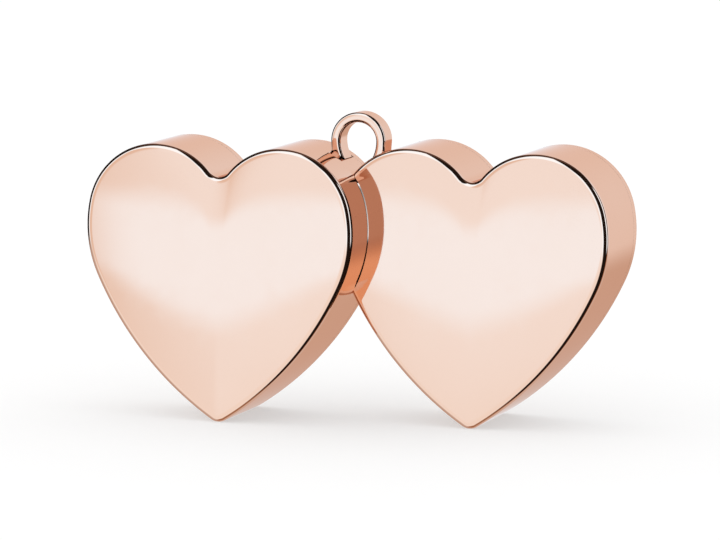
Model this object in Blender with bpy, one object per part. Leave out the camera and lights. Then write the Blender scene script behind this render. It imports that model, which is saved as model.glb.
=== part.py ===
"""Double-heart balloon weight with a ribbon eye, +Z up, metres.

Two equal thick hearts overlap side by side, the right one set back behind the left one.
One plated moulding makes both faces, the side walls and the eye between the lobes. Each
heart is open at the back, holds a block of cast filler and is closed by its own cover.
The part stands on the two heart tips, the origin is on the ground midway between them,
-Y is the front and +X is to the right.
"""

import math

import bmesh
import bpy
from mathutils import Vector

MM = 0.001

# Heart outline, seen from the front
HEART_WIDTH = 55.0 * MM
HEART_HEIGHT = 54.0 * MM
NOTCH_DEPTH = 6.0 * MM
NOTCH_FILLET = 2.5 * MM
SIDE_RADIUS = 23.8 * MM
SIDE_TURN = math.radians(12.0)
FLANK_RADIUS = 64.0 * MM
TIP_FILLET = 2.7 * MM

# How the two hearts stand
HEART_SPACING = 48.2 * MM
HEART_DEPTH = 21.6 * MM
SET_BACK = 10.2 * MM
EDGE_FILLET = 1.25 * MM

# Mouldings
WALL = 2.0 * MM
COVER_THICKNESS = 3.0 * MM
GAP = 0.3 * MM
PARTITION_LEDGE = 0.6 * MM
POCKET_STEP = 0.5 * MM
RIB_WALL = 1.6 * MM
RIB_DEPTH = 3.0 * MM
LEAST_FILLET = 0.8 * MM

# Ribbon eye
EYE_RADIUS = 3.65 * MM
EYE_BAND = 1.95 * MM
EYE_DEPTH = 5.0 * MM
EYE_RISE = 0.75 * MM
EYE_FILLET = 0.5 * MM
EYE_SINK = 1.3 * MM

# How far a cut runs past what it cuts, and how far joined solids run into each other
OVERRUN = 1.0 * MM

# Points along each stretch of an outline
NOTCH_STEPS = 4
LOBE_STEPS = 22
SIDE_STEPS = 7
FLANK_STEPS = 14
TIP_STEPS = 5
EYE_STEPS = 24
ARCH_STEPS = 6
EDGE_STEPS = 3
SMOOTH_ANGLE = math.radians(40.0)

LEFT_X = -HEART_SPACING / 2
RIGHT_X = HEART_SPACING / 2
LEFT_FRONT = -(HEART_DEPTH + SET_BACK) / 2
RIGHT_FRONT = LEFT_FRONT + SET_BACK
LEFT_BACK = LEFT_FRONT + HEART_DEPTH
RIGHT_BACK = RIGHT_FRONT + HEART_DEPTH

# The eye ends flush with the left half's open rim, in front of the left cover
EYE_BACK = LEFT_BACK - COVER_THICKNESS - GAP
EYE_FRONT = EYE_BACK - EYE_DEPTH


def direction(angle):
    """Unit vector in the plane of the heart face."""
    return Vector((math.cos(angle), math.sin(angle)))


def angle_from(centre, point):
    """Direction angle of a point seen from a centre."""
    return math.atan2(point.y - centre.y, point.x - centre.x)


def arc(centre, radius, start, end, steps):
    """Points along an arc, without its first point, which ends the stretch before."""
    turn = (end - start) / steps
    return [centre + radius * direction(start + turn * i) for i in range(1, steps + 1)]


def solve_lobe_radius():
    """Radius of the lobe arc that gives the heart its width and its notch depth.

    The lobe's centre is reach - radius * turn from the middle, because the side arc that
    follows it ends at half the width. The notch fillet touches the lobe only if that same
    distance squared is NOTCH_DEPTH * (2 * radius + 2 * NOTCH_FILLET - NOTCH_DEPTH).
    """
    turn = math.cos(SIDE_TURN)
    reach = HEART_WIDTH / 2 - SIDE_RADIUS * (1 - turn)
    a = turn * turn
    b = -2 * (reach * turn + NOTCH_DEPTH)
    c = reach * reach - NOTCH_DEPTH * (2 * NOTCH_FILLET - NOTCH_DEPTH)
    return (-b - math.sqrt(b * b - 4 * a * c)) / (2 * a)


LOBE_RADIUS = solve_lobe_radius()
LOBE_CENTRE = Vector((
    HEART_WIDTH / 2 - SIDE_RADIUS + (SIDE_RADIUS - LOBE_RADIUS) * math.cos(SIDE_TURN),
    HEART_HEIGHT - LOBE_RADIUS,
))
SIDE_CENTRE = LOBE_CENTRE - (SIDE_RADIUS - LOBE_RADIUS) * direction(SIDE_TURN)


def solve_flank_centre():
    """Centre of the long flank arc, which touches the side arc and the tip fillet."""
    tip = Vector((0.0, TIP_FILLET))
    to_tip = tip - SIDE_CENTRE
    span = to_tip.length
    from_side = FLANK_RADIUS - SIDE_RADIUS
    from_tip = FLANK_RADIUS - TIP_FILLET
    along = (from_side ** 2 - from_tip ** 2 + span ** 2) / (2 * span)
    aside = math.sqrt(from_side ** 2 - along ** 2)
    unit = to_tip / span
    return SIDE_CENTRE + unit * along + Vector((unit.y, -unit.x)) * aside


FLANK_CENTRE = solve_flank_centre()


def heart_outline(middle_x, grow=0.0):
    """Heart outline, clockwise from the notch, with every side moved out by grow."""
    notch_radius = max(NOTCH_FILLET - grow, LEAST_FILLET)
    tip_radius = max(TIP_FILLET + grow, LEAST_FILLET)
    notch_reach = LOBE_RADIUS + grow + notch_radius
    notch = Vector((0.0, LOBE_CENTRE.y + math.sqrt(notch_reach ** 2 - LOBE_CENTRE.x ** 2)))
    tip_reach = FLANK_RADIUS + grow - tip_radius
    tip = Vector((0.0, FLANK_CENTRE.y - math.sqrt(tip_reach ** 2 - FLANK_CENTRE.x ** 2)))
    down = -math.pi / 2
    flank_start = angle_from(FLANK_CENTRE, SIDE_CENTRE)
    flank_end = angle_from(FLANK_CENTRE, tip)
    half = [notch + notch_radius * direction(down)]
    half += arc(notch, notch_radius, down, angle_from(notch, LOBE_CENTRE), NOTCH_STEPS)
    half += arc(LOBE_CENTRE, LOBE_RADIUS + grow, angle_from(LOBE_CENTRE, notch), SIDE_TURN, LOBE_STEPS)
    half += arc(SIDE_CENTRE, SIDE_RADIUS + grow, SIDE_TURN, flank_start, SIDE_STEPS)
    half += arc(FLANK_CENTRE, FLANK_RADIUS + grow, flank_start, flank_end, FLANK_STEPS)
    half += arc(tip, tip_radius, flank_end, down, TIP_STEPS)
    mirrored = [Vector((-point.x, point.y)) for point in half[-2:0:-1]]
    return [Vector((middle_x + point.x, point.y)) for point in half + mirrored]


def crotch_height():
    """Height at which the two hearts' lobes cross, midway between the hearts."""
    return LOBE_CENTRE.y + math.sqrt(LOBE_RADIUS ** 2 - (RIGHT_X - LOBE_CENTRE.x) ** 2)


def eye_outline(grow=0.0):
    """Outline of the eye's band: a round arch whose opening narrows to the crotch."""
    centre = Vector((0.0, HEART_HEIGHT + EYE_RISE))
    drop = centre.y - crotch_height()
    arch_radius = (drop ** 2 + EYE_RADIUS ** 2) / (2 * EYE_RADIUS)
    foot = crotch_height() + EYE_SINK
    outer = EYE_RADIUS + EYE_BAND + grow
    inner = EYE_RADIUS - grow
    arch = arch_radius - grow
    foot_turn = math.asin((centre.y - foot) / arch)
    left_arch = centre + Vector((arch_radius - EYE_RADIUS, 0.0))
    right_arch = centre - Vector((arch_radius - EYE_RADIUS, 0.0))
    points = [Vector((-outer, foot)), centre + Vector((-outer, 0.0))]
    points += arc(centre, outer, math.pi, 0.0, EYE_STEPS)
    points += [Vector((outer, foot))]
    points += [right_arch + arch * direction(-foot_turn)]
    points += arc(right_arch, arch, -foot_turn, 0.0, ARCH_STEPS)
    points += arc(centre, inner, 0.0, math.pi, EYE_STEPS)
    points += arc(left_arch, arch, math.pi, math.pi + foot_turn, ARCH_STEPS)
    return points


def material(name, colour, roughness, metallic):
    """Principled material with one colour and finish."""
    made = bpy.data.materials.new(name)
    made.use_nodes = True
    shader = made.node_tree.nodes["Principled BSDF"]
    shader.inputs["Base Color"].default_value = (*colour, 1.0)
    shader.inputs["Roughness"].default_value = roughness
    shader.inputs["Metallic"].default_value = metallic
    made.diffuse_color = (*colour, 1.0)
    return made


def add_object(name, mesh):
    """Put a mesh in the scene with smooth curved sides and crisp corners."""
    made = bpy.data.objects.new(name, mesh)
    bpy.context.scene.collection.objects.link(made)
    mesh.shade_smooth()
    mesh.set_sharp_from_angle(angle=SMOOTH_ANGLE)
    return made


def edge_profile(front, back, front_round, back_round):
    """Pairs of inset and depth that carry an outline from front to back."""
    profile = []
    quarter = math.pi / 2
    front_steps = EDGE_STEPS if front_round else 0
    back_steps = EDGE_STEPS if back_round else 0
    for i in range(front_steps + 1):
        turn = quarter * i / front_steps if front_steps else quarter
        inset = front_round * (1 - math.sin(turn))
        profile.append((-inset, front + front_round * (1 - math.cos(turn))))
    for i in range(back_steps + 1):
        turn = quarter * i / back_steps if back_steps else 0.0
        inset = back_round * (1 - math.cos(turn))
        profile.append((-inset, back - back_round * (1 - math.sin(turn))))
    return profile


def slab(name, outline, front, back, front_round=0.0, back_round=0.0):
    """Solid whose outline(grow) runs from front to back, with rounded rims if asked."""
    bm = bmesh.new()
    rings = []
    for grow, depth in edge_profile(front, back, front_round, back_round):
        rings.append([bm.verts.new((p.x, depth, p.y)) for p in outline(grow)])
    for near, far in zip(rings, rings[1:]):
        for i in range(len(near)):
            j = (i + 1) % len(near)
            bm.faces.new((near[i], near[j], far[j], far[i]))
    bm.faces.new(rings[0])
    bm.faces.new(reversed(rings[-1]))
    bmesh.ops.recalc_face_normals(bm, faces=bm.faces)
    mesh = bpy.data.meshes.new(name)
    bm.to_mesh(mesh)
    bm.free()
    return add_object(name, mesh)


def heart_slab(name, middle_x, grow, front, back, front_round=0.0, back_round=0.0):
    """Heart-shaped slab, its outline moved out by grow."""
    def outline(inset):
        return heart_outline(middle_x, grow + inset)
    return slab(name, outline, front, back, front_round, back_round)


def cutter(made):
    """Mark an object as a tool that shapes another one."""
    made.hide_render = True
    made.display_type = "WIRE"
    return made


def combine(target, operation, tool):
    """Add, cut or intersect an object with a tool, exactly."""
    modifier = target.modifiers.new(f"{operation.lower()} {tool.name}", "BOOLEAN")
    modifier.operation = operation
    modifier.solver = "EXACT"
    modifier.object = cutter(tool)
    return target


def beside_right_heart(made, grow):
    """Cut away what lies inside the right heart's outline moved out by grow."""
    tool = heart_slab(
        f"{made.name}_bite", RIGHT_X, grow, LEFT_FRONT - OVERRUN, RIGHT_BACK + OVERRUN
    )
    return combine(made, "DIFFERENCE", tool)


def left_filling(name, spare, front, back):
    """Solid that fills the left heart's hollow, spare short of its walls."""
    made = heart_slab(name, LEFT_X, -WALL - spare, front, back)
    return beside_right_heart(made, PARTITION_LEDGE + spare)


def right_filling(name, spare, front, back):
    """Solid that fills the right heart's hollow, spare short of its walls."""
    return heart_slab(name, RIGHT_X, -WALL - spare, front, back)


def overlap_filling(name, spare, front, back):
    """Solid that fills the pocket where the hearts overlap, spare short of its walls."""
    made = heart_slab(name, RIGHT_X, -WALL - POCKET_STEP - spare, front, back)
    tool = heart_slab(
        f"{name}_limit", LEFT_X, -WALL - spare, front - OVERRUN, back + OVERRUN
    )
    return combine(made, "INTERSECT", tool)


def make_front_shell(finish):
    """Both heart faces with their walls and the ribbon eye, open at the back."""
    left_rim = LEFT_BACK - COVER_THICKNESS - GAP
    right_rim = RIGHT_BACK - COVER_THICKNESS - GAP
    shell = heart_slab("front_shell", LEFT_X, 0.0, LEFT_FRONT, left_rim, EDGE_FILLET)
    right = heart_slab("right_heart_form", RIGHT_X, 0.0, RIGHT_FRONT, right_rim, EDGE_FILLET)
    eye = slab("eye_form", eye_outline, EYE_FRONT, EYE_BACK, EYE_FILLET, EYE_FILLET)
    combine(shell, "UNION", right)
    combine(shell, "UNION", eye)
    left_core = left_filling("left_core", 0.0, LEFT_FRONT + WALL, left_rim + OVERRUN)
    right_core = right_filling("right_core", 0.0, RIGHT_FRONT + WALL, right_rim + OVERRUN)
    pocket = overlap_filling(
        "pocket_core", 0.0, LEFT_FRONT + WALL, RIGHT_FRONT + WALL + OVERRUN
    )
    for core in (left_core, right_core, pocket):
        combine(shell, "DIFFERENCE", core)
    shell.data.materials.append(finish)


def make_cover(name, middle_x, back, filling, finish):
    """Back plate of one heart, with a rib that locates it in the shell's hollow."""
    inside = back - COVER_THICKNESS
    cover = heart_slab(name, middle_x, 0.0, inside, back, back_round=EDGE_FILLET)
    rib = filling(f"{name}_rib", GAP, inside - RIB_DEPTH, inside + OVERRUN)
    hollow = filling(f"{name}_rib_hollow", GAP + RIB_WALL, inside - RIB_DEPTH - OVERRUN, inside)
    combine(rib, "DIFFERENCE", hollow)
    combine(cover, "UNION", rib)
    cover.data.materials.append(finish)
    return cover


def make_covers(finish):
    """The two back covers; the left one is bitten by the right heart's wall."""
    left = make_cover("back_cover_left", LEFT_X, LEFT_BACK, left_filling, finish)
    beside_right_heart(left, GAP)
    make_cover("back_cover_right", RIGHT_X, RIGHT_BACK, right_filling, finish)


def make_ballast(filler):
    """Blocks of cast filler that give the part its weight."""
    below_rib = COVER_THICKNESS + RIB_DEPTH + GAP
    left = left_filling("ballast_left", GAP, LEFT_FRONT + WALL + GAP, LEFT_BACK - below_rib)
    right = right_filling("ballast_right", GAP, RIGHT_FRONT + WALL + GAP, RIGHT_BACK - below_rib)
    tongue = overlap_filling(
        "ballast_tongue", GAP, LEFT_FRONT + WALL + GAP, RIGHT_FRONT + WALL + GAP + OVERRUN
    )
    combine(right, "UNION", tongue)
    left.data.materials.append(filler)
    right.data.materials.append(filler)


def main():
    for old in list(bpy.data.objects):
        bpy.data.objects.remove(old, do_unlink=True)
    plating = material("rose_gold_plating", (0.90, 0.62, 0.50), 0.06, 1.0)
    filler = material("cast_filler", (0.55, 0.53, 0.50), 0.9, 0.0)
    make_front_shell(plating)
    make_covers(plating)
    make_ballast(filler)


main()
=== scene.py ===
# %% [markdown]
# # A plated double-heart balloon weight
#
# The object is a hollow plastic moulding with a mirror-bright rose gold plating. Two thick
# hearts overlap, a small eye between them takes the ribbon, and each heart is filled with
# cast ballast and closed by its own back cover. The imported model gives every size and
# place. This script loads it, rebuilds the plated pieces with the fine, even surface that
# a mirror finish needs, gives every piece its finish and lights them like a product shot.

# %% Load the frame
import math

import bpy
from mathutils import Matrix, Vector


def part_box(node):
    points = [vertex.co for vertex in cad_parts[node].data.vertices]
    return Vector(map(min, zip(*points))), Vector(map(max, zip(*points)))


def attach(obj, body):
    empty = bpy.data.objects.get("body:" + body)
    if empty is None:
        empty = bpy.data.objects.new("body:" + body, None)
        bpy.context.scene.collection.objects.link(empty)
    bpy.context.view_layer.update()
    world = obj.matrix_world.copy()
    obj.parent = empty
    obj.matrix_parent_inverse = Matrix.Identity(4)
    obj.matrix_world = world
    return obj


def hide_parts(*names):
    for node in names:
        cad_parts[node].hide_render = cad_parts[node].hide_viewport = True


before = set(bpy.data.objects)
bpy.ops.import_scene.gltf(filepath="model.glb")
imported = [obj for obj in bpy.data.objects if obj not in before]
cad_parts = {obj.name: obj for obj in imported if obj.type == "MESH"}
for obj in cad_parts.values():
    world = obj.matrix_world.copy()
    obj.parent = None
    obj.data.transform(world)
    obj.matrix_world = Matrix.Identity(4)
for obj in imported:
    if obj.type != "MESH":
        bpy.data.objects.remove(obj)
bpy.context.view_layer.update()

MM = 0.001

# %% [markdown]
# ## Sizes
#
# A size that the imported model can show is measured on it: the right back cover is one
# whole heart, and the covers and the shell together give the depths. The radii that blend
# the outline can't be measured on a box, so they are named here, in millimetres.

# %% Sizes from the frame
def rounded(value):
    """A measured size, rounded to a twentieth of a millimetre."""
    return round(value / MM * 20) / 20 * MM


shell_low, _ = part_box("front_shell")
cover_low, cover_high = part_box("back_cover_right")
_, left_cover_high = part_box("back_cover_left")

HEART_WIDTH = rounded(cover_high.x - cover_low.x)
HEART_HEIGHT = rounded(cover_high.z)
RIGHT_X = rounded((cover_high.x + cover_low.x) / 2)
LEFT_X = -RIGHT_X
LEFT_FRONT = shell_low.y
LEFT_BACK = left_cover_high.y
RIGHT_BACK = cover_high.y
HEART_DEPTH = LEFT_BACK - LEFT_FRONT
RIGHT_FRONT = RIGHT_BACK - HEART_DEPTH
print("heart", [round(v / MM, 2) for v in (HEART_WIDTH, HEART_HEIGHT, HEART_DEPTH)], "mm")

# %% Sizes of the moulding
NOTCH_DEPTH = 6.0 * MM
NOTCH_FILLET = 2.5 * MM
SIDE_RADIUS = 23.8 * MM
SIDE_TURN = math.radians(12.0)
FLANK_RADIUS = 64.0 * MM
TIP_FILLET = 2.7 * MM
EDGE_FILLET = 1.25 * MM
LEAST_FILLET = 0.8 * MM
WALL = 2.0 * MM
COVER_THICKNESS = 3.0 * MM
PARTITION_LEDGE = 0.6 * MM
POCKET_STEP = 0.5 * MM
GAP = 0.3 * MM
RIB_WALL = 1.6 * MM
RIB_DEPTH = 3.0 * MM
JOINT_GAP = 0.03 * MM
JOINT_ROUND = 0.03 * MM
BEVEL = 0.38 * MM
BEVEL_SLOPE = 0.76
CROWN = 0.22 * MM
EYE_RADIUS = 3.65 * MM
EYE_BAND = 1.95 * MM
EYE_DEPTH = 5.0 * MM
EYE_RISE = 0.75 * MM
EYE_FILLET = 0.7 * MM
EYE_SINK = 1.3 * MM
OVERRUN = 1.0 * MM

# %% [markdown]
# ## The camera
#
# A long lens far away keeps both hearts almost free of perspective, as product shots do.
# The camera stands to the right of the front and a little above the object.

# %% The camera
def add_camera(azimuth, elevation, distance, target, lens, roll):
    """Camera aimed at target from azimuth right of the front and elevation above it."""
    away = Vector((
        math.sin(azimuth) * math.cos(elevation),
        -math.cos(azimuth) * math.cos(elevation),
        math.sin(elevation),
    ))
    data = bpy.data.cameras.new("camera")
    data.lens = lens
    data.sensor_width = 36.0
    data.clip_start = 0.01
    data.clip_end = 50.0
    made = bpy.data.objects.new("camera", data)
    bpy.context.scene.collection.objects.link(made)
    made.location = target + distance * away
    turn = (-away).to_track_quat("-Z", "Y").to_matrix().to_4x4()
    made.rotation_euler = turn.to_euler()
    made.rotation_euler.rotate_axis("Z", roll)
    bpy.context.scene.camera = made
    return made


CAMERA_AZIMUTH = math.radians(19.1)
CAMERA_ELEVATION = math.radians(7.65)
CAMERA_DISTANCE = 885.0 * MM
CAMERA_TARGET = Vector((-0.2, 0.0, 29.2)) * MM
CAMERA_LENS = 226.3
CAMERA_ROLL = math.radians(0.4)
camera = add_camera(
    CAMERA_AZIMUTH, CAMERA_ELEVATION, CAMERA_DISTANCE, CAMERA_TARGET, CAMERA_LENS, CAMERA_ROLL,
)
print("camera at", [round(v / MM) for v in camera.location], "mm")

# %% [markdown]
# ## The heart outline
#
# The heart is drawn like a draughtsman would draw it, as arcs that touch each other: a
# small fillet in the notch, a lobe, a wider arc at the side, a long flank and a rounded
# tip. Moving every arc's radius by the same amount moves the whole outline in or out, so
# the rounded rim and the inner walls are exact offsets of the same heart.

# %% Arcs that touch
def direction(angle):
    """Unit vector in the plane of the heart face, x across and y up."""
    return Vector((math.cos(angle), math.sin(angle)))


def angle_from(centre, point):
    """Direction angle of a point seen from a centre."""
    return math.atan2(point.y - centre.y, point.x - centre.x)


def arc(centre, radius, start, end, steps):
    """Points along an arc, without its first point, which ends the stretch before."""
    turn = (end - start) / steps
    return [centre + radius * direction(start + turn * i) for i in range(1, steps + 1)]


def solve_lobe_radius():
    """Radius of the lobe that gives the heart its width and its notch depth."""
    turn = math.cos(SIDE_TURN)
    reach = HEART_WIDTH / 2 - SIDE_RADIUS * (1 - turn)
    a = turn * turn
    b = -2 * (reach * turn + NOTCH_DEPTH)
    c = reach * reach - NOTCH_DEPTH * (2 * NOTCH_FILLET - NOTCH_DEPTH)
    return (-b - math.sqrt(b * b - 4 * a * c)) / (2 * a)


def solve_flank_centre(side_centre):
    """Centre of the long flank arc, which touches the side arc and the tip fillet."""
    to_tip = Vector((0.0, TIP_FILLET)) - side_centre
    span = to_tip.length
    from_side = FLANK_RADIUS - SIDE_RADIUS
    from_tip = FLANK_RADIUS - TIP_FILLET
    along = (from_side ** 2 - from_tip ** 2 + span ** 2) / (2 * span)
    aside = math.sqrt(from_side ** 2 - along ** 2)
    unit = to_tip / span
    return side_centre + unit * along + Vector((unit.y, -unit.x)) * aside


LOBE_RADIUS = solve_lobe_radius()
LOBE_CENTRE = Vector((
    HEART_WIDTH / 2 - SIDE_RADIUS + (SIDE_RADIUS - LOBE_RADIUS) * math.cos(SIDE_TURN),
    HEART_HEIGHT - LOBE_RADIUS,
))
SIDE_CENTRE = LOBE_CENTRE - (SIDE_RADIUS - LOBE_RADIUS) * direction(SIDE_TURN)
FLANK_CENTRE = solve_flank_centre(SIDE_CENTRE)
print("lobe radius", round(LOBE_RADIUS / MM, 2), "mm")

# %% The outline at any offset
NOTCH_STEPS = 8
LOBE_STEPS = 48
SIDE_STEPS = 16
FLANK_STEPS = 36
TIP_STEPS = 10


def heart_outline(middle_x, grow=0.0):
    """Heart outline from the notch round to the notch, moved out by grow."""
    notch_radius = max(NOTCH_FILLET - grow, LEAST_FILLET)
    tip_radius = max(TIP_FILLET + grow, LEAST_FILLET)
    notch_reach = LOBE_RADIUS + grow + notch_radius
    notch = Vector((0.0, LOBE_CENTRE.y + math.sqrt(notch_reach ** 2 - LOBE_CENTRE.x ** 2)))
    tip_reach = FLANK_RADIUS + grow - tip_radius
    tip = Vector((0.0, FLANK_CENTRE.y - math.sqrt(tip_reach ** 2 - FLANK_CENTRE.x ** 2)))
    down = -math.pi / 2
    flank_start = angle_from(FLANK_CENTRE, SIDE_CENTRE)
    flank_end = angle_from(FLANK_CENTRE, tip)
    lobe_start = angle_from(LOBE_CENTRE, notch)
    half = [notch + notch_radius * direction(down)]
    half += arc(notch, notch_radius, down, angle_from(notch, LOBE_CENTRE), NOTCH_STEPS)
    half += arc(LOBE_CENTRE, LOBE_RADIUS + grow, lobe_start, SIDE_TURN, LOBE_STEPS)
    half += arc(SIDE_CENTRE, SIDE_RADIUS + grow, SIDE_TURN, flank_start, SIDE_STEPS)
    half += arc(FLANK_CENTRE, FLANK_RADIUS + grow, flank_start, flank_end, FLANK_STEPS)
    half += arc(tip, tip_radius, flank_end, down, TIP_STEPS)
    mirrored = [Vector((-point.x, point.y)) for point in half[-2:0:-1]]
    return [Vector((middle_x + point.x, point.y)) for point in half + mirrored]


print("outline points", len(heart_outline(0.0)))

# %% [markdown]
# ## The ribbon eye's outline
#
# The eye is a flat band bent into an arch. Its opening is round at the top, and below its
# middle the sides lean in and would meet exactly in the crotch between the two lobes, so
# the ribbon's way through ends where the hearts meet.

# %% The eye's outline
EYE_STEPS = 144
ARCH_STEPS = 40
EYE_BACK = LEFT_BACK - COVER_THICKNESS - GAP
EYE_FRONT = EYE_BACK - EYE_DEPTH
EYE_CENTRE = Vector((0.0, HEART_HEIGHT + EYE_RISE))
CROTCH = LOBE_CENTRE.y + math.sqrt(LOBE_RADIUS ** 2 - (RIGHT_X - LOBE_CENTRE.x) ** 2)


def eye_outline(grow=0.0):
    """Outline of the band around the eye, moved out by grow on both of its sides."""
    drop = EYE_CENTRE.y - CROTCH
    arch_radius = (drop ** 2 + EYE_RADIUS ** 2) / (2 * EYE_RADIUS)
    foot = CROTCH + EYE_SINK
    outer = EYE_RADIUS + EYE_BAND + grow
    arch = arch_radius - grow
    foot_turn = math.asin((EYE_CENTRE.y - foot) / arch)
    left_arch = EYE_CENTRE + Vector((arch_radius - EYE_RADIUS, 0.0))
    right_arch = EYE_CENTRE - Vector((arch_radius - EYE_RADIUS, 0.0))
    points = [Vector((-outer, foot)), EYE_CENTRE + Vector((-outer, 0.0))]
    points += arc(EYE_CENTRE, outer, math.pi, 0.0, EYE_STEPS)
    points += [Vector((outer, foot))]
    points += [right_arch + arch * direction(-foot_turn)]
    points += arc(right_arch, arch, -foot_turn, 0.0, ARCH_STEPS)
    points += arc(EYE_CENTRE, EYE_RADIUS - grow, 0.0, math.pi, EYE_STEPS)
    points += arc(left_arch, arch, math.pi, math.pi + foot_turn, ARCH_STEPS)
    return points


print("crotch at", round(CROTCH / MM, 2), "mm, eye centre at", round(EYE_CENTRE.y / MM, 2))

# %% [markdown]
# ## Flat faces to grow the solids from
#
# Every plated solid starts as its flat front face. A heart's face is a web of rings that
# shrink towards the heart's middle, closer together near the rim, where the surface
# starts to roll off. Each point on the border carries the way out of the outline, which
# the node tree below follows when it builds the rounded rim and the walls.

# %% Faces with their way out
FACE_RINGS = 20
FIRST_RING = 0.006
RING_POWER = 1.7
HEART_MIDDLE = 0.56
BORDER_BAND = 0.12 * MM


def store(mesh, name, kind, values):
    """Write one value or vector per point into a mesh attribute."""
    layer = mesh.attributes.new(name, kind, "POINT")
    field = "vector" if kind == "FLOAT_VECTOR" else "value"
    flat = [c for v in values for c in v] if kind == "FLOAT_VECTOR" else values
    layer.data.foreach_set(field, flat)


def ways_out(outline, inset):
    """For each outline point, the step that moves it out by one unit."""
    step = inset if inset else BORDER_BAND
    near = outline(-step)
    far = outline(0.0)
    return [Vector((b.x - a.x, 0.0, b.y - a.y)) / step for a, b in zip(near, far)]


def face_object(name, points, faces, outward, inside, bevel):
    """Object with the face mesh and what the node tree needs to know about it."""
    mesh = bpy.data.meshes.new(name)
    mesh.from_pydata([(p.x, 0.0, p.y) for p in points], [], faces)
    rest = len(points) - len(outward)
    store(mesh, "outward", "FLOAT_VECTOR", outward + [Vector((0, 0, 0))] * rest)
    store(mesh, "inside", "FLOAT", inside)
    store(mesh, "bevel", "FLOAT", bevel + [0.0] * (len(points) - len(bevel)))
    made = bpy.data.objects.new(name, mesh)
    bpy.context.scene.collection.objects.link(made)
    return made


def heart_face(name, middle_x, grow, rim, bevel_width=0.0):
    """Flat heart face, inset by its rim radius, as rings around the heart's middle."""
    def outline(inset):
        return heart_outline(middle_x, grow + inset)
    border = outline(-rim)
    count = len(border)
    middle = Vector((middle_x, HEART_HEIGHT * HEART_MIDDLE))
    shrink = [0.0, FIRST_RING]
    for i in range(1, FACE_RINGS):
        shrink.append(FIRST_RING + (1 - FIRST_RING) * (i / FACE_RINGS) ** RING_POWER)
    points = [p.lerp(middle, s) for s in shrink for p in border] + [middle]
    inside = [s for s in shrink for _ in border] + [1.0]
    faces = []
    for ring in range(len(shrink) - 1):
        for i in range(count):
            j = (i + 1) % count
            low = ring * count
            faces.append((low + i, low + j, low + count + j, low + count + i))
    last = (len(shrink) - 1) * count
    faces += [(last + i, last + (i + 1) % count, len(points) - 1) for i in range(count)]
    bevel = [0.0] * count
    if bevel_width:
        bevel = [min(max(p.x / bevel_width, 0.0), 1.0) for p in outline(0.0)]
    return face_object(name, points, faces, ways_out(outline, rim), inside, bevel)


def eye_face(name, rim):
    """Flat face of the eye's band: a narrow border and one polygon inside it."""
    border = eye_outline(-rim)
    inner = eye_outline(-rim - BORDER_BAND)
    count = len(border)
    faces = [(i, (i + 1) % count, count + (i + 1) % count, count + i) for i in range(count)]
    faces.append(tuple(range(count, 2 * count)))
    points = border + inner
    return face_object(name, points, faces, ways_out(eye_outline, rim), [0.0] * len(points), [])


# %% [markdown]
# ## One node tree for every plated solid
#
# A heart, a cover and the eye all follow one rule: a face, a rounded rim, a straight wall
# with a narrow bevel where it lands on another part, a back rim and a lid. Geometry Nodes
# fits that rule well, because each step is the same act, extruding the open border, and
# the rims are the same act repeated with another angle. The modifier's inputs hold the
# sizes, so one tree makes every plated solid and the cores that hollow them.

# %% Helpers for building node trees
def add(tree, kind, feeds=None, **settings):
    """Add a node, set its options, then feed its sockets with values or other sockets."""
    made = tree.nodes.new(kind)
    for name, value in settings.items():
        setattr(made, name, value)
    for key, value in (feeds or {}).items():
        if isinstance(value, bpy.types.NodeSocket):
            tree.links.new(value, made.inputs[key])
        else:
            made.inputs[key].default_value = value
    return made


def maths(tree, operation, *values):
    """Result of a math node fed with numbers or sockets."""
    return add(tree, "ShaderNodeMath", dict(enumerate(values)), operation=operation).outputs[0]


def scaled(tree, vector, factor):
    """A vector socket multiplied by a number."""
    made = add(tree, "ShaderNodeVectorMath", {0: vector}, operation="SCALE")
    if isinstance(factor, bpy.types.NodeSocket):
        tree.links.new(factor, made.inputs["Scale"])
    else:
        made.inputs["Scale"].default_value = factor
    return made.outputs[0]


def summed(tree, first, second):
    """Sum of two vector sockets."""
    return add(tree, "ShaderNodeVectorMath", {0: first, 1: second}, operation="ADD").outputs[0]


def backwards(tree, length):
    """A step of that length towards the back."""
    return add(tree, "ShaderNodeCombineXYZ", {"Y": length}).outputs[0]


def attribute(tree, name, kind):
    """A named attribute as a field."""
    return add(tree, "GeometryNodeInputNamedAttribute", {"Name": name}, data_type=kind).outputs[0]


def extrude_border(tree, geometry, step):
    """Extrude the open border by a step and make the new edges the open border."""
    grown = add(
        tree, "GeometryNodeExtrudeMesh",
        {"Mesh": geometry, "Selection": attribute(tree, "border", "BOOLEAN"),
         "Offset": step, "Offset Scale": 1.0},
        mode="EDGES",
    )
    return add(
        tree, "GeometryNodeStoreNamedAttribute",
        {"Geometry": grown.outputs["Mesh"], "Name": "border", "Value": grown.outputs["Top"]},
        data_type="BOOLEAN", domain="EDGE",
    ).outputs[0]


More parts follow.
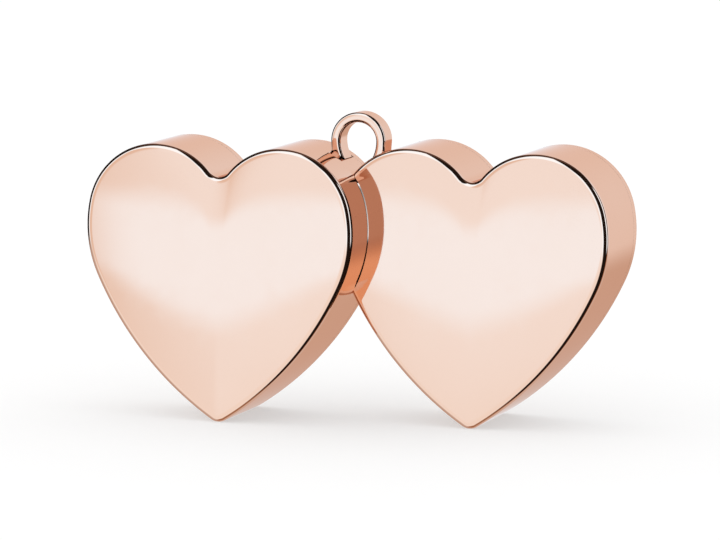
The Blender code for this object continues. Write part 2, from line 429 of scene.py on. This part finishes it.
# %% Rounded stretches, one extrusion per step of the angle
def quarter_turn(tree, geometry, steps, radius, shape):
    """Extrude the border along a quarter circle, in a repeat zone.

    shape is rim for an edge that rounds outwards into the wall, and back for a wall that
    rounds in to the lid.
    """
    start = tree.nodes.new("GeometryNodeRepeatInput")
    end = tree.nodes.new("GeometryNodeRepeatOutput")
    start.pair_with_output(end)
    end.repeat_items.new("INT", "Step")
    tree.links.new(steps, start.inputs["Iterations"])
    tree.links.new(geometry, start.inputs["Geometry"])
    index = start.outputs["Step"]
    after = maths(tree, "ADD", index, 1.0)
    turn = maths(tree, "DIVIDE", math.pi / 2, steps)
    angles = [maths(tree, "MULTIPLY", value, turn) for value in (index, after)]
    sines = [maths(tree, "SINE", angle) for angle in angles]
    cosines = [maths(tree, "COSINE", angle) for angle in angles]
    rise = maths(tree, "SUBTRACT", sines[1], sines[0])
    fall = maths(tree, "SUBTRACT", cosines[0], cosines[1])
    out, depth = (rise, fall) if shape == "rim" else (fall, rise)
    out = maths(tree, "MULTIPLY", out, radius)
    if shape == "back":
        out = maths(tree, "MULTIPLY", out, -1.0)
    depth = maths(tree, "MULTIPLY", depth, radius)
    step = summed(
        tree, scaled(tree, attribute(tree, "outward", "FLOAT_VECTOR"), out), backwards(tree, depth)
    )
    tree.links.new(extrude_border(tree, start.outputs["Geometry"], step), end.inputs["Geometry"])
    tree.links.new(after, end.inputs["Step"])
    return end.outputs["Geometry"]


# %% The tree
SUPPORT = 0.15 * MM
WELD = 0.002 * MM
CROWN_POWER = 3.0


def new_tree(name, sizes):
    """Empty geometry tree with one geometry in and out and the named size inputs."""
    tree = bpy.data.node_groups.new(name, "GeometryNodeTree")
    tree.interface.new_socket("Geometry", in_out="INPUT", socket_type="NodeSocketGeometry")
    for size, kind in sizes.items():
        tree.interface.new_socket(size, in_out="INPUT", socket_type=kind)
    tree.interface.new_socket("Geometry", in_out="OUTPUT", socket_type="NodeSocketGeometry")
    return tree


def rounded_slab_tree():
    """Tree that grows a closed slab with rounded rims from its flat front face."""
    number = "NodeSocketFloat"
    tree = new_tree("rounded_slab", {
        "Front": number, "Back": number, "Front Rim": number, "Back Rim": number,
        "Rim Steps": "NodeSocketInt", "Crown": number, "Bevel": number, "Bevel End": number,
        "Finish": "NodeSocketMaterial",
    })
    given = tree.nodes.new("NodeGroupInput").outputs
    outward = attribute(tree, "outward", "FLOAT_VECTOR")
    inside = attribute(tree, "inside", "FLOAT")
    bevel = attribute(tree, "bevel", "FLOAT")

    left = maths(tree, "SUBTRACT", 1.0, inside)
    bulge = maths(tree, "SUBTRACT", 1.0, maths(tree, "POWER", left, CROWN_POWER))
    height = maths(tree, "SUBTRACT", given["Front"], maths(tree, "MULTIPLY", given["Crown"], bulge))
    face = add(
        tree, "GeometryNodeSetPosition",
        {"Geometry": given["Geometry"], "Offset": backwards(tree, height)},
    )
    edge = add(tree, "GeometryNodeInputMeshEdgeNeighbors").outputs[0]
    is_border = add(
        tree, "FunctionNodeCompare", {2: edge, 3: 1}, data_type="INT", operation="EQUAL",
    ).outputs[0]
    body = add(
        tree, "GeometryNodeStoreNamedAttribute",
        {"Geometry": face.outputs[0], "Name": "border", "Value": is_border},
        data_type="BOOLEAN", domain="EDGE",
    ).outputs[0]

    body = quarter_turn(tree, body, given["Rim Steps"], given["Front Rim"], "rim")
    body = extrude_border(tree, body, backwards(tree, SUPPORT))
    wall_top = maths(tree, "ADD", maths(tree, "ADD", given["Front"], given["Front Rim"]), SUPPORT)
    bevel_top = maths(tree, "SUBTRACT", given["Bevel End"], given["Bevel"])
    body = extrude_border(tree, body, backwards(tree, maths(tree, "SUBTRACT", bevel_top, wall_top)))
    flare = maths(tree, "MULTIPLY", maths(tree, "MULTIPLY", bevel, given["Bevel"]), BEVEL_SLOPE)
    away = summed(tree, scaled(tree, outward, flare), backwards(tree, given["Bevel"]))
    body = extrude_border(tree, body, away)
    flare = maths(tree, "MULTIPLY", flare, -1.0)
    home = summed(tree, scaled(tree, outward, flare), backwards(tree, SUPPORT))
    body = extrude_border(tree, body, home)
    rim_start = maths(tree, "SUBTRACT", given["Back"], given["Back Rim"])
    rim_start = maths(tree, "SUBTRACT", rim_start, SUPPORT)
    wall_end = maths(tree, "SUBTRACT", rim_start, maths(tree, "ADD", given["Bevel End"], SUPPORT))
    body = extrude_border(tree, body, backwards(tree, wall_end))
    body = extrude_border(tree, body, backwards(tree, SUPPORT))
    body = quarter_turn(tree, body, given["Rim Steps"], given["Back Rim"], "back")
    ring = maths(tree, "SUBTRACT", given["Back Rim"], given["Front Rim"])
    body = extrude_border(tree, body, scaled(tree, outward, ring))

    lid = add(
        tree, "GeometryNodeSetPosition",
        {"Geometry": given["Geometry"], "Offset": backwards(tree, given["Back"])},
    )
    lid = add(tree, "GeometryNodeFlipFaces", {"Mesh": lid.outputs[0]})
    joined = add(tree, "GeometryNodeJoinGeometry")
    for part in (lid.outputs[0], body):
        tree.links.new(part, joined.inputs[0])
    welded = add(
        tree, "GeometryNodeMergeByDistance", {"Geometry": joined.outputs[0], "Distance": WELD},
    )
    real = add(tree, "GeometryNodeRealizeInstances", {"Geometry": welded.outputs[0]})
    finished = add(
        tree, "GeometryNodeSetMaterial",
        {"Geometry": real.outputs[0], "Material": given["Finish"]},
    )
    out = tree.nodes.new("NodeGroupOutput")
    tree.links.new(finished.outputs[0], out.inputs[0])
    return tree


slab_tree = rounded_slab_tree()
print("tree", slab_tree.name, "with", len(slab_tree.nodes), "nodes")

# %% [markdown]
# ## The finishes
#
# The plating is a metal film under tinted lacquer on gloss plastic: a mirror, but not a
# perfect one. The moulding shrinks a little unevenly, so reflections waver, and handling
# leaves a faint haze. Both effects are shader groups, because the filler uses them too,
# with other values.

# %% Shared effects: ripple and haze
HAZE_LEAST = 0.15
HAZE_MOST = 0.42


def noise(tree, place, scale, detail):
    """Noise value with a scale and a number of finer layers."""
    feeds = {"Vector": place, "Scale": scale, "Detail": detail}
    return add(tree, "ShaderNodeTexNoise", feeds).outputs[0]


def shader_group(name, inputs, outputs):
    """Empty shader group with named sockets; inputs maps a name to its default."""
    group = bpy.data.node_groups.new(name, "ShaderNodeTree")
    group.interface.new_socket("Vector", in_out="INPUT", socket_type="NodeSocketVector")
    for title, value in inputs.items():
        made = group.interface.new_socket(title, in_out="INPUT", socket_type="NodeSocketFloat")
        made.default_value = value
    for title in outputs:
        group.interface.new_socket(title, in_out="OUTPUT", socket_type="NodeSocketFloat")
    return group


def ripple_group():
    """Height of a moulded surface: long shrinkage waves under a fine skin."""
    defaults = {"Wave Scale": 40.0, "Skin Scale": 900.0, "Skin Share": 0.1}
    group = shader_group("surface_ripple", defaults, ["Height"])
    given = group.nodes.new("NodeGroupInput").outputs
    wave = noise(group, given["Vector"], given["Wave Scale"], 1.0)
    skin = noise(group, given["Vector"], given["Skin Scale"], 3.0)
    share = maths(group, "MULTIPLY", skin, given["Skin Share"])
    total = maths(group, "ADD", wave, share)
    out = group.nodes.new("NodeGroupOutput")
    group.links.new(total, out.inputs["Height"])
    return group


def haze_group():
    """Roughness with soft cloudy patches and finer smudges between two limits."""
    defaults = {"Clean": 0.03, "Hazed": 0.08, "Patch Scale": 60.0, "Smudge Scale": 400.0}
    group = shader_group("haze", defaults, ["Roughness"])
    given = group.nodes.new("NodeGroupInput").outputs
    patch = noise(group, given["Vector"], given["Patch Scale"], 4.0)
    smudge = noise(group, given["Vector"], given["Smudge Scale"], 6.0)
    both = maths(group, "MULTIPLY", patch, smudge)
    spread = add(group, "ShaderNodeMapRange", {
        "Value": both, "From Min": HAZE_LEAST, "From Max": HAZE_MOST,
        "To Min": given["Clean"], "To Max": given["Hazed"],
    })
    out = group.nodes.new("NodeGroupOutput")
    group.links.new(spread.outputs[0], out.inputs["Roughness"])
    return group


ripple = ripple_group()
haze = haze_group()
print("shared effects", ripple.name, haze.name)

# %% Rose gold plating
PLATING = (0.86, 0.61, 0.50)
PLATING_THICK = (0.84, 0.58, 0.465)
GRAZING = (0.86, 0.60, 0.48)


def use_group(tree, group, feeds):
    """Place a shader group in a material with its own values."""
    return add(tree, "ShaderNodeGroup", feeds, node_tree=group)


def new_material(name):
    """Material with an empty node tree, its Principled shader and Object coordinates."""
    made = bpy.data.materials.new(name)
    made.use_nodes = True
    tree = made.node_tree
    shader = tree.nodes["Principled BSDF"]
    place = tree.nodes.new("ShaderNodeTexCoord").outputs["Object"]
    return made, tree, shader, place


def mixed(tree, factor, first, second):
    """Blend of two colours."""
    made = add(tree, "ShaderNodeMix", {0: factor}, data_type="RGBA")
    made.inputs[6].default_value = (*first, 1.0)
    made.inputs[7].default_value = (*second, 1.0)
    return made.outputs[2]


def plating_material():
    """Mirror-bright rose gold: even colour, faint haze and long, shallow waves."""
    made, tree, shader, place = new_material("rose_gold_plating")
    tint = noise(tree, place, 45.0, 2.0)
    tree.links.new(mixed(tree, tint, PLATING, PLATING_THICK), shader.inputs["Base Color"])
    soft = use_group(tree, haze, {"Vector": place, "Clean": 0.025, "Hazed": 0.07})
    tree.links.new(soft.outputs["Roughness"], shader.inputs["Roughness"])
    waves = use_group(tree, ripple, {
        "Vector": place, "Wave Scale": 38.0, "Skin Scale": 700.0, "Skin Share": 0.004,
    })
    bump = add(tree, "ShaderNodeBump", {
        "Strength": 1.0, "Distance": 0.05 * MM, "Height": waves.outputs["Height"],
    })
    tree.links.new(bump.outputs[0], shader.inputs["Normal"])
    shader.inputs["Metallic"].default_value = 1.0
    shader.inputs["Specular Tint"].default_value = (*GRAZING, 1.0)
    return made


plating = plating_material()
print("finish", plating.name)

# %% Cast filler
CEMENT = (0.36, 0.34, 0.31)
SAND = (0.66, 0.63, 0.58)


def filler_material():
    """Cement and sand: grey, matt, grainy, with small pits left by air."""
    made, tree, shader, place = new_material("cast_filler")
    grain = add(tree, "ShaderNodeTexVoronoi", {"Vector": place, "Scale": 900.0})
    cloud = maths(tree, "MULTIPLY", noise(tree, place, 120.0, 6.0), 0.7)
    shade = maths(tree, "MULTIPLY_ADD", grain.outputs["Distance"], 0.5, cloud)
    tree.links.new(mixed(tree, shade, CEMENT, SAND), shader.inputs["Base Color"])
    soft = use_group(tree, haze, {"Vector": place, "Clean": 0.85, "Hazed": 0.97, "Patch Scale": 200.0})
    tree.links.new(soft.outputs["Roughness"], shader.inputs["Roughness"])
    rough = use_group(tree, ripple, {
        "Vector": place, "Wave Scale": 250.0, "Skin Scale": 1500.0, "Skin Share": 0.5,
    })
    bump = add(tree, "ShaderNodeBump", {
        "Strength": 0.6, "Distance": 0.3 * MM, "Height": rough.outputs["Height"],
    })
    tree.links.new(bump.outputs[0], shader.inputs["Normal"])
    return made


filler = filler_material()
for node_name in ("ballast_left", "ballast_right"):
    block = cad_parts[node_name]
    block.data.materials.clear()
    block.data.materials.append(filler)
print("finish", filler.name)

# %% [markdown]
# ## Growing solids
#
# The modifier's inputs are set by their identifiers before the object is evaluated. The
# solids that shape another one, such as the cores of the hollows, are made the same way,
# and a Boolean joins or cuts them, as the two halves of a mould would.

# %% Slabs and how they are combined
RIM_STEPS = 10


def set_inputs(modifier, values):
    """Set a node modifier's inputs by name, through their identifiers."""
    for item in modifier.node_group.interface.items_tree:
        if item.in_out == "INPUT" and item.name in values:
            modifier[item.identifier] = values[item.name]


def grow_slab(face, front, back, front_rim, back_rim, crown=0.0, bevel=0.0, bevel_end=None):
    """Put the slab tree on a flat face with its sizes."""
    modifier = face.modifiers.new("slab", "NODES")
    modifier.node_group = slab_tree
    set_inputs(modifier, {
        "Front": front, "Back": back, "Front Rim": front_rim, "Back Rim": back_rim,
        "Rim Steps": RIM_STEPS, "Crown": crown, "Bevel": bevel or SUPPORT,
        "Bevel End": (front + back) / 2 if bevel_end is None else bevel_end, "Finish": plating,
    })
    return face


def combine(target, operation, tool):
    """Join, cut or intersect an object with a tool, exactly."""
    modifier = target.modifiers.new(operation.lower(), "BOOLEAN")
    modifier.operation = operation
    modifier.solver = "EXACT"
    modifier.object = tool
    return target


def frozen(made, name):
    """Plain mesh object of an object as its modifiers leave it; the source is removed."""
    shaped = made.evaluated_get(bpy.context.evaluated_depsgraph_get())
    mesh = bpy.data.meshes.new_from_object(shaped)
    for layer in ("outward", "inside", "bevel", "border"):
        if layer in mesh.attributes:
            mesh.attributes.remove(mesh.attributes[layer])
    mesh.name = name
    tools = [m.object for m in made.modifiers if m.type == "BOOLEAN"]
    bpy.data.objects.remove(made)
    for tool in tools:
        bpy.data.objects.remove(tool)
    result = bpy.data.objects.new(name, mesh)
    bpy.context.scene.collection.objects.link(result)
    print(name, len(mesh.polygons), "faces")
    return result


CREASE = math.radians(28.0)


def finish_surface(piece):
    """Smooth shading with crisp creases where the pieces of a moulding meet."""
    piece.data.shade_smooth()
    piece.data.set_sharp_from_angle(angle=CREASE)
    return piece


# %% Cores of the hollows
# Known fault: cuts with these square-edged solids don't all come out clean. Stray faces
# stay inside the shell, the left cover isn't bitten and the right cover's rib is solid.
def plain_heart(name, middle_x, grow, front, back):
    """Heart-shaped slab with square edges, its outline moved out by grow."""
    return frozen(grow_slab(heart_face(name, middle_x, grow, 0.0), front, back, 0.0, 0.0), name)


def left_filling(name, spare, front, back):
    """What fills the left heart's hollow, spare short of its walls."""
    made = plain_heart(name, LEFT_X, -WALL - spare, front, back)
    bite = plain_heart("bite", RIGHT_X, PARTITION_LEDGE + spare, LEFT_FRONT - OVERRUN, RIGHT_BACK + OVERRUN)
    return frozen(combine(made, "DIFFERENCE", bite), name)


def right_filling(name, spare, front, back):
    """What fills the right heart's hollow, spare short of its walls."""
    return plain_heart(name, RIGHT_X, -WALL - spare, front, back)


def overlap_filling(name, front, back):
    """What fills the pocket behind the left face, where the hearts overlap."""
    made = plain_heart(name, RIGHT_X, -WALL - POCKET_STEP, front, back)
    limit = plain_heart("limit", LEFT_X, -WALL, front - OVERRUN, back + OVERRUN)
    return frozen(combine(made, "INTERSECT", limit), name)


# %% [markdown]
# ## The front shell
#
# One moulding: both faces, the walls and the eye. The left heart's wall flares out in a
# narrow bevel where it lands on the right heart's face, because a mould has no
# knife-sharp inner corner there.

# %% Build the front shell
BEVEL_WIDTH = 1.2 * MM
BEVEL_BITE = 0.10 * MM


def build_front_shell():
    """Both hearts and the eye joined into one shell, hollow and open at the back."""
    left_rim = LEFT_BACK - COVER_THICKNESS - JOINT_GAP
    right_rim = RIGHT_BACK - COVER_THICKNESS - JOINT_GAP
    shell = frozen(grow_slab(
        heart_face("shell_form", LEFT_X, 0.0, EDGE_FILLET, BEVEL_WIDTH), LEFT_FRONT, left_rim,
        EDGE_FILLET, JOINT_ROUND, CROWN, BEVEL, RIGHT_FRONT + BEVEL_BITE,
    ), "shell_form")
    right = grow_slab(
        heart_face("right_form", RIGHT_X, 0.0, EDGE_FILLET), RIGHT_FRONT, right_rim,
        EDGE_FILLET, JOINT_ROUND, CROWN,
    )
    eye = grow_slab(eye_face("eye_form", EYE_FILLET), EYE_FRONT, EYE_BACK, EYE_FILLET, EYE_FILLET)
    combine(shell, "UNION", frozen(right, "right_form"))
    combine(shell, "UNION", frozen(eye, "eye_form"))
    combine(shell, "DIFFERENCE", left_filling("left_core", 0.0, LEFT_FRONT + WALL, left_rim + OVERRUN))
    combine(shell, "DIFFERENCE", right_filling("right_core", 0.0, RIGHT_FRONT + WALL, right_rim + OVERRUN))
    pocket = overlap_filling("pocket_core", LEFT_FRONT + WALL, RIGHT_FRONT + WALL + OVERRUN)
    combine(shell, "DIFFERENCE", pocket)
    return finish_surface(frozen(shell, "plated_front_shell"))


front_shell = build_front_shell()

# %% [markdown]
# ## The back covers
#
# Each cover is grown facing the front and then turned half round the vertical axis, which
# puts its crowned, rounded face at the back. A rib under it sits in the shell's hollow.

# %% Build the back covers
def turned_back(piece):
    """Turn a piece half round the vertical axis through the origin, in its mesh."""
    for vertex in piece.data.vertices:
        vertex.co = (-vertex.co.x, -vertex.co.y, vertex.co.z)
    piece.data.update()
    return piece


def build_cover(name, middle_x, back, filling):
    """Cover plate of one heart with its rounded rim, crown and locating rib."""
    inside = back - COVER_THICKNESS
    plate = grow_slab(
        heart_face(name, -middle_x, 0.0, EDGE_FILLET), -back, -inside,
        EDGE_FILLET, JOINT_ROUND, CROWN,
    )
    cover = turned_back(frozen(plate, name))
    rib = filling("rib", GAP, inside - RIB_DEPTH, inside + OVERRUN)
    hollow = filling("rib_hollow", GAP + RIB_WALL, inside - RIB_DEPTH - OVERRUN, inside)
    rib = frozen(combine(rib, "DIFFERENCE", hollow), "rib")
    return combine(cover, "UNION", rib)


cover_right = build_cover("plated_cover_right", RIGHT_X, RIGHT_BACK, right_filling)
cover_right = finish_surface(frozen(cover_right, "plated_cover_right"))
cover_left = build_cover("plated_cover_left", LEFT_X, LEFT_BACK, left_filling)
combine(cover_left, "DIFFERENCE", plain_heart("bite", RIGHT_X, JOINT_GAP, LEFT_FRONT, RIGHT_BACK))
cover_left = finish_surface(frozen(cover_left, "plated_cover_left"))

# %% Hand the pieces to the frame
for piece, node_name in (
    (front_shell, "front_shell"),
    (cover_left, "back_cover_left"),
    (cover_right, "back_cover_right"),
):
    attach(piece, "root")
    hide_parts(node_name)

# %% [markdown]
# ## The floor
#
# The sheet lies on a light table: it glows evenly, so the two tips leave only a faint
# shadow. The plating mirrors the studio below the horizon instead of the sheet, because
# the dark and bright zones that draw the rims have to run on under the hearts. That part
# of the studio carries a painted shade of the hearts on the sheet, darker behind and under them.

# %% The floor
FLOOR_SIZE = 8.0
FLOOR_GLOW = 0.49
FLOOR_PAPER = 0.475
PAPER_SPREAD = 0.005


def floor_material():
    """Evenly glowing sheet that the plating doesn't mirror."""
    made, tree, shader, place = new_material("light_table")
    paper = add(tree, "ShaderNodeMapRange", {
        "Value": noise(tree, place, 60.0, 3.0),
        "To Min": FLOOR_PAPER - PAPER_SPREAD, "To Max": FLOOR_PAPER + PAPER_SPREAD,
    })
    tree.links.new(paper.outputs[0], shader.inputs["Base Color"])
    shader.inputs["Roughness"].default_value = 0.9
    shader.inputs["Specular IOR Level"].default_value = 0.0
    shader.inputs["Emission Color"].default_value = (1.0, 1.0, 1.0, 1.0)
    shader.inputs["Emission Strength"].default_value = FLOOR_GLOW
    clear = tree.nodes.new("ShaderNodeBsdfTransparent")
    mirror = tree.nodes.new("ShaderNodeLightPath").outputs["Is Glossy Ray"]
    blend = add(tree, "ShaderNodeMixShader", {0: mirror, 1: shader.outputs[0], 2: clear.outputs[0]})
    tree.links.new(blend.outputs[0], tree.nodes["Material Output"].inputs["Surface"])
    return made


def sheet(name, low, high, height, finish):
    """Level rectangle between two corners."""
    mesh = bpy.data.meshes.new(name)
    corners = [(low[0], low[1]), (high[0], low[1]), (high[0], high[1]), (low[0], high[1])]
    mesh.from_pydata([(x, y, height) for x, y in corners], [], [(0, 1, 2, 3)])
    mesh.materials.append(finish)
    made = bpy.data.objects.new(name, mesh)
    bpy.context.scene.collection.objects.link(made)
    return made


half = FLOOR_SIZE / 2
floor = sheet("floor", (-half, -half), (half, half), 0.0, floor_material())
print("floor", floor.name, FLOOR_SIZE, "m across")

# %% [markdown]
# ## The studio
#
# A mirror shows its surroundings, so the light is designed as what the metal sees: pale
# softboxes with dark gaps between them, which draw the crisp dark lines along the rounded
# edges. Three ramps over the compass, for below, around and above, make them in the world
# shader. Everything that isn't a mirror is lit by an even white instead.
#
# Two things here are a designer's tricks and not how light works. Only mirror rays see
# the ramps, and what is seen after a second bounce, out towards the right front, is
# tinted, to deepen the colour of the step between the hearts.

# %% Ramps of colour
def ramp(tree, factor, stops):
    """Colour ramp through (position, colour) stops, read at a factor."""
    made = add(tree, "ShaderNodeValToRGB", {"Fac": factor})
    elements = made.color_ramp.elements
    while len(elements) < len(stops):
        elements.new(0.5)
    for element, (position, colour) in zip(elements, stops):
        element.position = position
        element.color = (*colour, 1.0)
    return made.outputs[0]

# %% The studio surroundings
def compass(degrees):
    """Position on the compass ramp of an angle right of the front."""
    return (degrees + 180.0) / 360.0


DARK = (0.015, 0.01, 0.008)
BROWN = (0.12, 0.07, 0.05)
RUST = (0.50, 0.24, 0.13)
BACKDROP = (0.98, 1.10, 1.21)
# Painted shade: the backdrop below the horizon is darker, standing for the sheet behind the hearts in their
# shadow.
BACKDROP_LOW_SHADE = (0.76, 0.72, 0.70)
FRONT = (1.06, 1.17, 1.24)
FRONT_LOW = (1.04, 1.08, 1.08)
PEACH = (0.91, 0.80, 0.71)
REFLECTOR = (1.10, 1.36, 1.56)
SOFTBOX = (1.20, 1.60, 1.90)
SIDE_LOW = (0.62, 0.55, 0.50)
# Painted contact shade: the rust-brown straight down stands for the sheet in the hearts' shadow, as the
# mirror sees it.
UNDER_SHADE = (0.42, 0.22, 0.12)
ABOVE = [
    (-180, BROWN), (-120, BROWN),
    (-110, DARK), (-80, DARK),
    (-72, SOFTBOX), (14, SOFTBOX),
    (22, DARK), (124, DARK),
    (134, BROWN), (180, BROWN),
]
AROUND = [
    (-180, BACKDROP), (-156, BACKDROP),
    (-153, DARK), (-78, DARK),
    (-73, SOFTBOX), (-62, SOFTBOX),
    (-55, PEACH), (-28, PEACH),
    (-20.5, FRONT), (4, FRONT),
    (12, SOFTBOX), (24, SOFTBOX),
    (28, DARK), (84, DARK),
    (87, SOFTBOX), (102, SOFTBOX),
    (105, BROWN), (121, BROWN),
    (125, BACKDROP), (180, BACKDROP),
]
# Below the horizon the mirror sees this ramp instead of the sheet. It holds painted shade: darker behind
# and under the hearts. The dark stretch on the right both draws the dark line along the lower flanks and
# stands for the shade under the hearts.
BELOW = [
    (-180, BACKDROP_LOW_SHADE), (-150, BACKDROP_LOW_SHADE),
    (-135, SIDE_LOW), (-70, SIDE_LOW),
    (-50, FRONT_LOW), (30, FRONT_LOW),
    (36, DARK), (106, DARK),
    (110, RUST), (120, RUST),
    (130, BACKDROP_LOW_SHADE), (180, BACKDROP_LOW_SHADE),
]
CEILING = (0.60, 0.68)
HORIZON = (-0.26, -0.15)
NADIR = (-0.96, -0.90)
REFLECTOR_LOW = (-0.160, -0.144)
REFLECTOR_HIGH = (-0.112, -0.090)
REFLECTOR_SIDE = (0.38, 0.46)
REFLECTOR_RIGHT = (0.05, 0.20)
DAYLIGHT = 1.12
SECOND_BOUNCE = (0.56, 0.365, 0.28)
SECOND_BOUNCE_LOW = (1.05, 0.86, 0.68)
LOW_CORNER = (-0.32, -0.18)
CORNER_EDGE = -0.01
FIRST_BOUNCE = 1.5


def between(tree, value, limits):
    """Soft step from nought to one between two limits."""
    feeds = {"Value": value, "From Min": limits[0], "From Max": limits[1]}
    return add(tree, "ShaderNodeMapRange", feeds, interpolation_type="SMOOTHSTEP").outputs[0]


def blend(tree, factor, first, second, kind="MIX"):
    """Mix of two colours, each a socket or four numbers."""
    feeds = {0: factor, 6: first, 7: second}
    return add(tree, "ShaderNodeMix", feeds, data_type="RGBA", blend_type=kind).outputs[2]


def reflector_mask(tree, parts):
    """Where the low reflector in front stands: a level band with soft ends."""
    low = between(tree, parts["Z"], REFLECTOR_LOW)
    high = between(tree, parts["Z"], REFLECTOR_HIGH)
    left = maths(tree, "MULTIPLY", parts["X"], -1.0)
    side = between(tree, left, REFLECTOR_SIDE)
    front = maths(tree, "LESS_THAN", parts["Y"], 0.0)
    shown = maths(tree, "MULTIPLY", low, maths(tree, "SUBTRACT", 1.0, high))
    shown = maths(tree, "MULTIPLY", shown, maths(tree, "SUBTRACT", 1.0, side))
    right = between(tree, parts["X"], REFLECTOR_RIGHT)
    shown = maths(tree, "MULTIPLY", shown, maths(tree, "SUBTRACT", 1.0, right))
    return maths(tree, "MULTIPLY", shown, front)


def build_studio():
    """World that lights evenly, is white behind, and shows softboxes to the mirror."""
    world = bpy.data.worlds.new("studio")
    bpy.context.scene.world = world
    world.use_nodes = True
    tree = world.node_tree
    tree.nodes.clear()
    way = tree.nodes.new("ShaderNodeTexCoord").outputs["Generated"]
    parts = add(tree, "ShaderNodeSeparateXYZ", {0: way}).outputs
    heading = maths(tree, "ARCTAN2", parts["X"], maths(tree, "MULTIPLY", parts["Y"], -1.0))
    turn = maths(tree, "MULTIPLY_ADD", heading, 1 / (2 * math.pi), 0.5)
    below, around, above = (
        ramp(tree, turn, [(compass(degrees), colour) for degrees, colour in stops])
        for stops in (BELOW, AROUND, ABOVE)
    )
    around = blend(tree, reflector_mask(tree, parts), around, (*REFLECTOR, 1.0))
    # Straight down, the mirror sees the painted contact shade.
    seen = blend(tree, between(tree, parts["Z"], NADIR), (*UNDER_SHADE, 1.0), below)
    seen = blend(tree, between(tree, parts["Z"], HORIZON), seen, around)
    seen = blend(tree, between(tree, parts["Z"], CEILING), seen, above)
    path = tree.nodes.new("ShaderNodeLightPath").outputs
    again = maths(tree, "GREATER_THAN", path["Glossy Depth"], FIRST_BOUNCE)
    ahead = maths(tree, "MULTIPLY", parts["X"], maths(tree, "MINIMUM", parts["Y"], 0.0))
    corner = maths(tree, "MULTIPLY", again, maths(tree, "LESS_THAN", ahead, CORNER_EDGE))
    low = between(tree, parts["Z"], LOW_CORNER)
    warm = blend(tree, low, (*SECOND_BOUNCE_LOW, 1.0), (*SECOND_BOUNCE, 1.0))
    seen = blend(tree, corner, seen, warm, "MULTIPLY")
    daylight = (DAYLIGHT, DAYLIGHT, DAYLIGHT, 1.0)
    colour = blend(tree, path["Is Glossy Ray"], daylight, seen)
    light = add(tree, "ShaderNodeBackground", {"Color": colour, "Strength": 1.0})
    out = tree.nodes.new("ShaderNodeOutputWorld")
    tree.links.new(light.outputs[0], out.inputs["Surface"])
    return world


build_studio()
bpy.context.scene.view_settings.view_transform = "Standard"
bpy.context.scene.view_settings.look = "None"
print("studio with", len(BELOW) + len(AROUND) + len(ABOVE), "stops")
